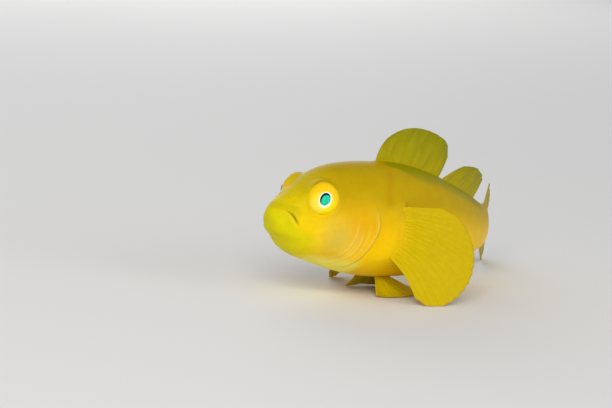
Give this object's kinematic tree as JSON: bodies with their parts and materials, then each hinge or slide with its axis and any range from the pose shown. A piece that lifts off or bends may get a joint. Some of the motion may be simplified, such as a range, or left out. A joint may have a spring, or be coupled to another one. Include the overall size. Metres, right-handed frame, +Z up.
{
  "type": "yellow goby model",
  "caption": "Life-size still model of a small yellow goby, curled gently to its right and propped on its fins.",
  "frame": {"origin": "middle of the fish's box, on the floor that it rests on", "axes": "-X the way the head points, -Y the fish's left side, +Z up"},
  "size_m": [0.0346, 0.0216, 0.0138],
  "materials": {
    "skin": "moist, satin yellow skin",
    "fin": "thin yellow membrane with a soft sheen",
    "eye": "glossy, clear over a yellow iris"
  },
  "bodies": {
    "root": {"head": "skin", "lower_jaw": "skin", "gill_cover_left": "skin", "gill_cover_right": "skin", "trunk": "skin", "rear_body": "skin", "tail_stalk": "skin", "eye_left": "eye", "eye_right": "eye", "first_dorsal_fin": "fin", "second_dorsal_fin": "fin", "anal_fin": "fin", "caudal_fin": "fin", "pectoral_fin_left": "fin", "pectoral_fin_right": "fin", "pelvic_disc": "fin"}
  },
  "joints": []
}
